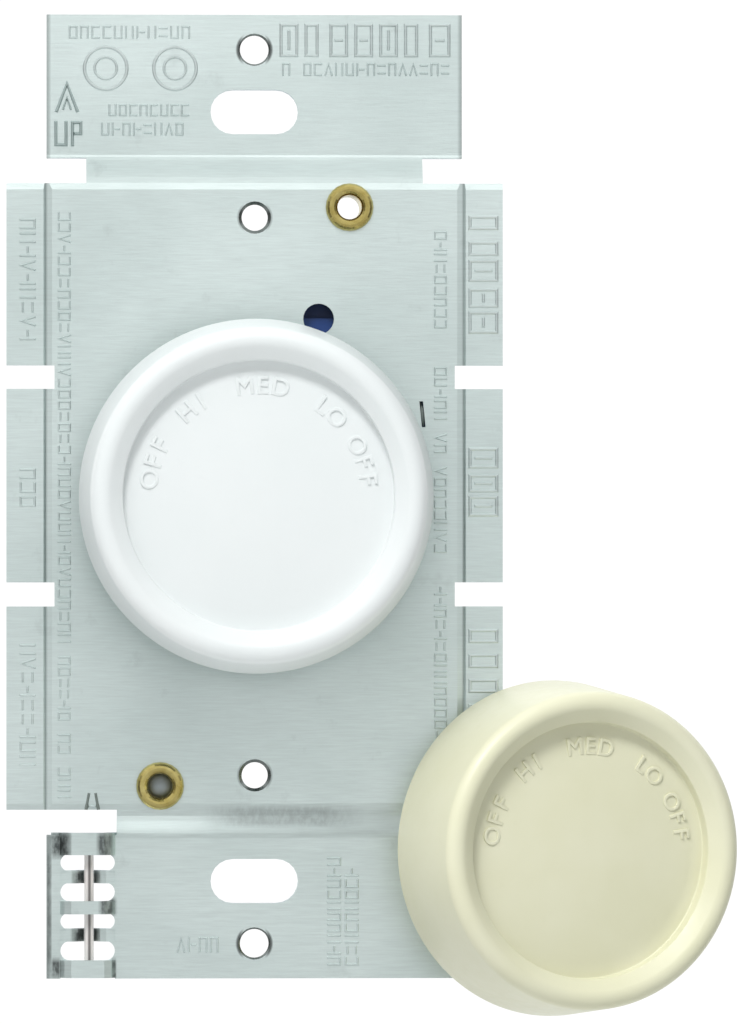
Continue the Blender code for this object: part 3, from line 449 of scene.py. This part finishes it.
# Plain marks in a unit square, each a list of lines: the points, and whether the line closes.
SMALL_MARKS = (
    [([(0, 0), (0, 1)], False), ([(1, 0), (1, 1)], False)],
    [([(0, 0), (0, 1), (1, 1), (1, 0)], False)],
    [([(0, 0), (1, 0), (1, 1), (0, 1)], True)],
    [([(0, 1), (0, 0), (1, 0), (1, 1)], False)],
    [([(0, 0.15), (1, 0.15)], False), ([(0, 0.85), (1, 0.85)], False)],
    [([(0, 0), (0.5, 1), (1, 0)], False)],
    [([(0, 0), (0, 1)], False), ([(0.45, 0.5), (1, 0.5)], False)],
    [([(1, 1), (0, 1), (0, 0), (1, 0)], False)],
)


def placed(start, upright, corner, size):
    """A point of a mark's unit square on the plate, the mark turned to read upwards where upright."""
    along, up = corner[0] * size[0], corner[1] * size[1]
    if upright:
        return (start[0] - up, start[1] + along)
    return (start[0] + along, start[1] + up)


def small_row(stamp, start, count, height, pitch, upright, seed, width=0.00026):
    """A row of small abstract marks, about as dense as small print, with some places left empty."""
    draw = random.Random(seed)
    size = (0.60 * pitch, height)
    for k in range(count):
        place = placed(start, upright, (k, 0), (pitch, height))
        lines = SMALL_MARKS[draw.randrange(len(SMALL_MARKS))]
        if draw.random() < 0.06:
            continue
        for points, closed in lines:
            stamp.line([placed(place, upright, point, size) for point in points], width, closed)


def large_row(stamp, start, count, height, pitch, upright, seed, width=0.00042):
    """A row of tall open blocks, some with a bar inside, in place of large outlined print."""
    draw = random.Random(seed)
    for k in range(count):
        place = placed(start, upright, (k, 0), (pitch, height))
        size = (0.74 * pitch * draw.choice((1.0, 0.6, 0.85)), height)
        corners = [(0, 0), (1, 0), (1, 1), (0, 1)]
        stamp.line([placed(place, upright, corner, size) for corner in corners], width, True)
        if size[0] > 0.6 * pitch:
            bar = [(0.5, 0.22), (0.5, 0.78)] if draw.random() < 0.5 else [(0.32, 0.5), (0.68, 0.5)]
            stamp.line([placed(place, upright, point, size) for point in bar], width)


def up_mark(stamp, x, z):
    """The arrow head and the word UP that say which way round the dimmer goes."""
    stamp.line([(x - 0.0011, z), (x, z + 0.0029), (x + 0.0011, z)], 0.00040)
    stamp.line([(x - 0.0004, z + 0.0002), (x, z + 0.0014), (x + 0.0004, z + 0.0002)], 0.00026)
    top, bottom = z - 0.0013, z - 0.0037
    stamp.line([(x - 0.0012, top), (x - 0.0012, bottom), (x - 0.0001, bottom), (x - 0.0001, top)], 0.00038)
    middle = (top + bottom) / 2
    stamp.line([(x + 0.0006, bottom), (x + 0.0006, top), (x + 0.0015, top), (x + 0.0015, middle),
                (x + 0.0009, middle)], 0.00038)


def stamped_marks():
    top = Stamp("stamped_marks_upper_strap", STRAP_FRONT)
    small_row(top, (-0.0200, 0.0497), 11, 0.0012, 0.00122, False, 1)
    for x in (-0.0161, -0.0086):
        top.ring((x, 0.0464), 0.0023, 0.00044)
        top.ring((x, 0.0464), 0.0012, 0.00036, 24)
    small_row(top, (-0.0157, 0.0413), 8, 0.0011, 0.00112, False, 3)
    small_row(top, (-0.0165, 0.0392), 8, 0.0012, 0.00115, False, 4)
    large_row(top, (0.0029, 0.0478), 7, 0.0033, 0.0027, False, 5)
    small_row(top, (0.0031, 0.0457), 16, 0.0012, 0.00115, False, 6)
    top.done()

    direction = Stamp("stamped_up_arrow", STRAP_FRONT, 0.00032)
    up_mark(direction, -0.0203, 0.0418)
    # Painted shade: the arrow and UP in a darker metal.
    direction.done(UP_MARK_SHADE_METAL)

    bottom = Stamp("stamped_marks_lower_strap", STRAP_FRONT, 0.00016)
    small_row(bottom, (-0.0083, -0.0493), 4, 0.0015, 0.0012, False, 7)
    small_row(bottom, (0.0093, -0.0507), 10, 0.0013, 0.0012, True, 8)
    small_row(bottom, (0.0112, -0.0507), 9, 0.0013, 0.0012, True, 9)
    bottom.done()

    middle = Stamp("stamped_marks_plate", PLATE_FRONT)
    small_row(middle, (-0.0200, -0.0325), 53, 0.0012, 0.0012, True, 10)
    small_row(middle, (0.0207, 0.0183), 9, 0.0012, 0.0012, True, 11)
    small_row(middle, (0.0207, -0.0060), 17, 0.0012, 0.0012, True, 12)
    small_row(middle, (0.0207, -0.0262), 14, 0.0012, 0.0012, True, 13)
    middle.line([(-0.01785, -0.03350), (-0.01730, -0.03350)], 0.00036)
    middle.done()

    nick = Stamp("stamped_nick", PLATE_FRONT)
    nick.line([(-0.01795, -0.0322), (-0.01822, -0.0337)], 0.00034)
    nick.line([(-0.01720, -0.0322), (-0.01693, -0.0337)], 0.00034)
    nick.done(NICK_SHADE)

    fins = Stamp("stamped_marks_fins", PLATE_FRONT)
    large_row(fins, (0.0262, 0.0178), 5, 0.0029, 0.0028, True, 14)
    large_row(fins, (0.0262, -0.0020), 3, 0.0029, 0.0026, True, 15)
    large_row(fins, (0.0262, -0.0238), 4, 0.0029, 0.0027, True, 16)
    small_row(fins, (-0.0238, 0.0170), 9, 0.0015, 0.0015, True, 17, 0.00030)
    small_row(fins, (-0.0238, -0.0010), 3, 0.0015, 0.0015, True, 18, 0.00030)
    small_row(fins, (-0.0238, -0.0290), 9, 0.0015, 0.0015, True, 19, 0.00030)
    fins.done()


# ---------------------------------------------------------------- small parts in the plate's holes


def tapped_threads():
    """The thread in each small screw hole, widening to the front."""
    wall, recess, tooth, pitch, end = 0.00183, 0.00006, 0.00012, 0.00022, 0.00132
    for cover, height, front, bore in (
        ("toggle", TOGGLE_SCREW_Z, PLATE_FRONT, 0.00142),
        ("wide", WIDE_SCREW_Z, STRAP_FRONT, 0.00156),
    ):
        for side, where in ((1, "upper"), (-1, "lower")):
            depth = front - recess - 0.8 * (wall - bore)
            profile = [(wall, front - recess), (bore, depth)]
            for _ in range(3):
                profile += [(bore + tooth, depth - pitch / 2), (bore, depth - pitch)]
                depth -= pitch
            profile.append((wall, front - end))
            name = f"tapped_thread_{cover}_cover_{where}"
            work = bmesh.new()
            lathe(work, profile, 56)
            mesh = finish_mesh(name, work, 40)
            mesh.transform(Matrix.Translation((0, 0, side * height)))
            piece = new_piece(name, mesh, "aluminium", "device")
            # Dark metal: painted shade in the screw holes.
            piece.data.materials[0] = THREAD_SHADE_METAL


def eyelet_plug():
    """The dull rivet end seen in the bore of the closed eyelet."""
    box_low, box_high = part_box("eyelet_lower")
    centre = (box_low + box_high) / 2
    front = -box_low.y - 0.0016
    work = bmesh.new()
    lathe(work, [(0, front), (0.0006, front - 0.00008), (0.0010, front - 0.0003), (0.00131, front - 0.0007),
                 (0.00131, front - 0.0012), (0, front - 0.0012)], 40)
    mesh = finish_mesh("eyelet_lower_rivet_end", work, 40)
    mesh.transform(Matrix.Translation((centre.x, 0, centre.z)))
    piece = new_piece("eyelet_lower_rivet_end", mesh, "steel", "device")
    piece.data.materials[0] = moulded_plastic("dull_rivet", (0.44, 0.50, 0.55), (0.34, 0.40, 0.45), 0.5)


def hook():
    """The tip of the hook behind the slit, bent across it."""
    work = bmesh.new()
    x, z, lean, half = 0.01815, 0.0089, 0.00028, 0.0013
    sections = []
    for k in range(9):
        t = 2 * k / 8 - 1
        middle, width = x - t * lean / 2, 0.00013 - 0.00006 * t * t
        rise = 0.0006 * t * t
        front = PLATE_FRONT - 0.0003 - rise
        corners = ((-width, 0), (width, 0), (width, 0.0006), (-width, 0.0006))
        sections.append([work.verts.new((middle + a, -(front - b), z + t * half)) for a, b in corners])
    for first, second in zip(sections, sections[1:]):
        for k in range(4):
            after = (k + 1) % 4
            work.faces.new((first[k], second[k], second[after], first[after]))
    work.faces.new(sections[0])
    work.faces.new(sections[-1])
    piece = new_piece("hook_tip", finish_mesh("hook_tip", work), "steel", "device")
    piece.data.materials[0] = moulded_plastic("hook_shade", (0.20, 0.23, 0.22), (0.15, 0.18, 0.17), 0.5)


# ---------------------------------------------------------------- knobs


def dish_height(radius):
    """The height of the dish's slightly crowned face at that radius."""
    return DISH_FLOOR + DISH_CROWN * (1 - (radius / DISH_EDGE) ** 2)


def knob_profile(scale):
    """(radius, height) over the dish, its ledge, the rim and the side, and back inside."""
    ledge = KNOB_HEIGHT - RIM_DROP
    rim = arc(KNOB_SHOULDER - RIM_ROUND, KNOB_HEIGHT - RIM_ROUND, RIM_ROUND, 0, 125, 16)
    skirt = arc(KNOB_RADIUS - 0.0003, 0.0003, 0.0003, -90, 0, 4)
    inner = KNOB_SHOULDER - KNOB_WALL
    profile = [
        *((DISH_EDGE * k / 8, dish_height(DISH_EDGE * k / 8)) for k in range(8)),
        *arc(DISH_EDGE - 0.0002, DISH_FLOOR + 0.0002, 0.0002, -80, 0, 5),
        *arc(DISH_EDGE + 0.0003, ledge - 0.00033, 0.0003, 180, 124, 5),
        *rim[::-1],
        *skirt[::-1],
        (KNOB_RADIUS - KNOB_WALL, 0),
        (inner - 0.0003, KNOB_CEILING - 0.0012),
        (inner - 0.0015, KNOB_CEILING),
        (0, KNOB_CEILING),
    ]
    return [(radius * scale, up * scale) for radius, up in profile]


def knob_core(work, scale):
    """The hub with its D-shaped bore, and the four ribs that meet it."""
    ceiling = KNOB_CEILING * scale + 0.0004
    back, outer, bore, flat, count = 0.0010, 0.0055, 0.0031, 0.00195, 64
    rings = []
    for radius, height, is_bore in (
        (outer, ceiling, False),
        (outer, back + 0.0003, False),
        (outer - 0.0003, back, False),
        (bore + 0.0002, back, True),
        (bore, back + 0.0002, True),
        (bore, ceiling - 0.0003, True),
    ):
        ring = []
        for k in range(count):
            angle = 2 * math.pi * k / count
            x, z = radius * math.cos(angle), radius * math.sin(angle)
            ring.append(work.verts.new((x, -height, min(z, flat) if is_bore else z)))
        rings.append(ring)
    for ring, following in zip(rings, rings[1:]):
        for k in range(count):
            after = (k + 1) % count
            work.faces.new((ring[k], ring[after], following[after], following[k]))
    work.faces.new(rings[0])
    work.faces.new(rings[-1])
    rib_start, rib_end, rib_depth, rib_thickness = 0.0050, 0.0160 * scale + 0.0003, 0.0035, 0.0010
    for turn in range(4):
        spin = Matrix.Rotation(turn * math.pi / 2, 4, "Y")
        size = Matrix.Diagonal((rib_end - rib_start, rib_depth, rib_thickness, 1))
        shift = Matrix.Translation(((rib_end + rib_start) / 2, rib_depth / 2 - ceiling, 0))
        bmesh.ops.create_cube(work, size=1, matrix=spin @ shift @ size)


LEGEND = (("OFF", -72), ("HI", -36), ("MED", 2), ("LO", 40), ("OFF", 72))
LEGEND_RADIUS = 0.0117
LETTER_HEIGHT = 0.0019
LETTER_RAISED = 0.00022
# The height of a capital in Blender's own font, as a share of the font's size.
CAPITAL_SHARE = 0.70


def legend_mesh(name, scale):
    """The dial's words around the dish, each letter turned to the dial's centre."""
    work = bmesh.new()
    advance = math.degrees(LETTER_HEIGHT / LEGEND_RADIUS)
    for word, angle in LEGEND:
        for k, letter in enumerate(word):
            at = math.radians(angle + (k - (len(word) - 1) / 2) * advance)
            curve = bpy.data.curves.new(name + "_letter", "FONT")
            curve.body = letter
            curve.align_x, curve.align_y = "CENTER", "CENTER"
            curve.size = LETTER_HEIGHT / CAPITAL_SHARE
            curve.extrude = LETTER_RAISED / 2
            curve.bevel_depth = 0.00006
            curve.bevel_resolution = 1
            curve.offset = -0.00001
            letter_object = bpy.data.objects.new(name + "_letter", curve)
            bpy.context.scene.collection.objects.link(letter_object)
            bpy.context.view_layer.update()
            evaluated = letter_object.evaluated_get(bpy.context.evaluated_depsgraph_get())
            mesh = bpy.data.meshes.new_from_object(evaluated)
            upright = Matrix.Rotation(math.pi / 2, 4, "X")
            spin = Matrix.Rotation(at, 4, "Y")
            move = Matrix.Translation((0, -dish_height(LEGEND_RADIUS), LEGEND_RADIUS))
            mesh.transform(spin @ move @ upright)
            work.from_mesh(mesh)
            bpy.data.objects.remove(letter_object)
            bpy.data.curves.remove(curve)
            bpy.data.meshes.remove(mesh)
    bmesh.ops.remove_doubles(work, verts=work.verts, dist=1e-7)
    bmesh.ops.scale(work, verts=work.verts, vec=(scale, scale, scale))
    return finish_mesh(name, work, 40)


def build_knob(prefix, node, slot, body, place, scale):
    cap, core = bmesh.new(), bmesh.new()
    lathe(cap, knob_profile(scale), 160)
    knob_core(core, scale)
    meshes = (
        (prefix + "_cap", finish_mesh(prefix + "_cap", cap, 28)),
        (prefix + "_hub_and_ribs", finish_mesh(prefix + "_hub_and_ribs", core, 28)),
        (prefix + "_legend", legend_mesh(prefix + "_legend", scale)),
    )
    for name, mesh in meshes:
        mesh.transform(place)
        piece = new_piece(name, mesh, slot, body)
        if name.endswith("_cap"):
            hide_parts(node)


def knobs():
    place = Matrix.Translation((0, -KNOB_BASE, 0))
    build_knob("white_knob", "knob", "white_plastic", "control_knob", place, 1)
    place = Matrix.Translation(SPARE_PLACE) @ Matrix.Rotation(SPARE_TURN, 4, "Z")
    build_knob("ivory_knob", "spare_knob", "ivory_plastic", "loose_knob", place, SPARE_SCALE)


# ---------------------------------------------------------------- camera, light and floor


def camera():
    data = bpy.data.cameras.new("camera")
    data.sensor_width = SENSOR
    data.lens = SENSOR * VIEW_DISTANCE / VIEW_HEIGHT
    data.clip_start, data.clip_end = 0.05, 50
    obj = bpy.data.objects.new("camera", data)
    bpy.context.scene.collection.objects.link(obj)
    back = Vector((
        -math.sin(VIEW_LEFT) * math.cos(VIEW_BELOW),
        -math.cos(VIEW_LEFT) * math.cos(VIEW_BELOW),
        -math.sin(VIEW_BELOW),
    ))
    obj.location = Vector(VIEW_CENTRE) + back * VIEW_DISTANCE
    obj.rotation_euler = (-back).to_track_quat("-Z", "Y").to_euler()
    bpy.context.scene.camera = obj


def softbox(name, place, aim, size, radiance):
    """An area light of that radiance, which the camera doesn't see."""
    data = bpy.data.lights.new(name, "AREA")
    data.shape = "RECTANGLE"
    data.size, data.size_y = size
    data.energy = radiance * math.pi * size[0] * size[1]
    obj = bpy.data.objects.new(name, data)
    bpy.context.scene.collection.objects.link(obj)
    obj.location = place
    obj.rotation_euler = (Vector(aim) - Vector(place)).to_track_quat("-Z", "Y").to_euler()
    obj.visible_camera = False
    return obj


def world():
    """A pale studio, brighter above, behind and in reflections, darker far to the left and right. The
    camera sees it white."""
    made = bpy.data.worlds.new("studio")
    bpy.context.scene.world = made
    made.use_nodes = True
    nodes, links = made.node_tree.nodes, made.node_tree.links

    def math_node(operation, first, second):
        node = nodes.new("ShaderNodeMath")
        node.operation = operation
        for socket, value in zip(node.inputs, (first, second)):
            if isinstance(value, bpy.types.NodeSocket):
                links.new(value, socket)
            else:
                socket.default_value = value
        return node.outputs[0]

    def ramp(value, low, high, change):
        node = nodes.new("ShaderNodeMapRange")
        node.interpolation_type = "SMOOTHSTEP"
        links.new(value, node.inputs["Value"])
        for socket, number in (("From Min", low), ("From Max", high), ("To Min", 0), ("To Max", change)):
            node.inputs[socket].default_value = number
        return node.outputs["Result"]

    way = nodes.new("ShaderNodeSeparateXYZ")
    links.new(nodes.new("ShaderNodeTexCoord").outputs["Generated"], way.inputs[0])
    sideways = math_node("ABSOLUTE", way.outputs["X"], 0)
    strength = math_node("ADD", math_node("MULTIPLY", way.outputs["Z"], RISE), AMBIENT)
    strength = math_node("ADD", strength, ramp(way.outputs["Y"], 0.05, 0.5, BEHIND))
    strength = math_node("SUBTRACT", strength, ramp(sideways, 0.82, 0.94, SIDES_DARKER))
    path = nodes.new("ShaderNodeLightPath")
    strength = math_node("ADD", strength, math_node("MULTIPLY", path.outputs["Is Glossy Ray"], MIRRORED))
    fill = nodes["Background"]
    fill.inputs["Color"].default_value = (0.97, 1.0, 1.0, 1)
    links.new(strength, fill.inputs["Strength"])
    seen = nodes.new("ShaderNodeBackground")
    seen.inputs["Color"].default_value = (1, 1, 1, 1)
    seen.inputs["Strength"].default_value = 1.05
    mix = nodes.new("ShaderNodeMixShader")
    links.new(path.outputs["Is Camera Ray"], mix.inputs["Fac"])
    links.new(fill.outputs["Background"], mix.inputs[1])
    links.new(seen.outputs["Background"], mix.inputs[2])
    links.new(mix.outputs["Shader"], nodes["World Output"].inputs["Surface"])


def floor():
    work = bmesh.new()
    bmesh.ops.create_circle(work, cap_ends=True, segments=96, radius=FLOOR_RADIUS)
    mesh = bpy.data.meshes.new("floor")
    work.to_mesh(mesh)
    work.free()
    obj = bpy.data.objects.new("floor", mesh)
    bpy.context.scene.collection.objects.link(obj)
    obj.location = (0, 0, FLOOR_Z)
    shader = Shader("floor_paper", 0.8)
    fibre = shader.noise((400, 400, 400), 2)
    shader.set("Base Color", shader.blend(fibre, (0.90, 0.90, 0.90), (0.93, 0.93, 0.93)))
    mesh.materials.append(shader.material)
    obj.visible_glossy = False


def studio():
    """Three lights for every piece, unseen in reflections, and four that light only some pieces, of
    which three are seen only in reflections."""
    bpy.context.scene.view_settings.view_transform = "Standard"
    world()
    for name, place, size, radiance in (
        ("key_light", (-0.09, -0.41, 0.42), 0.16, 23.5),
        ("fill_upper_left", (-0.26, -0.13, 0.40), 0.40, 1.25),
        ("fill_below", (0.20, -0.22, -0.38), 0.40, 1.05),
    ):
        softbox(name, place, (0, 0, 0), (size, size), radiance).visible_glossy = False
    caps = [bpy.data.objects[name] for name in ("white_knob_cap", "ivory_knob_cap")]
    plate = [frame["nodes"]["heat_sink_plate"]]
    spare = [obj for obj in bpy.data.objects if obj.name.startswith("ivory_knob")]
    for name, place, aim, size, radiance, seen_in in (
        ("knob_sheen", (-0.10, -0.35, 0.40), (0, 0, 0), (0.40, 0.22), 2.4, caps),
        ("spare_key", (-0.16, -0.34, 0.34), (0.03, 0, -0.04), (0.14, 0.14), 14.5, spare),
        ("card_above", (-0.01, -0.35, 0.20), (0.005, 0, 0.045), (0.28, 0.15), 1.4, plate),
        ("low_card", (-0.040, -0.004, -0.125), (-0.03, -0.003, -0.035), (0.05, 0.06), 3.6, plate),
    ):
        light = softbox(name, place, aim, size, radiance)
        light.visible_diffuse = name == "spare_key"
        light.light_linking.receiver_collection = bpy.data.collections.new(name)
        for obj in seen_in:
            light.light_linking.receiver_collection.objects.link(obj)
    floor()


dress_cad_nodes()
soften_edges("heat_sink_plate", 0.0003, 3)
soften_edges("housing_front", 0.0004)
soften_edges("housing_back", 0.0008)
stamped_marks()
tapped_threads()
eyelet_plug()
hook()
knobs()
camera()
studio()
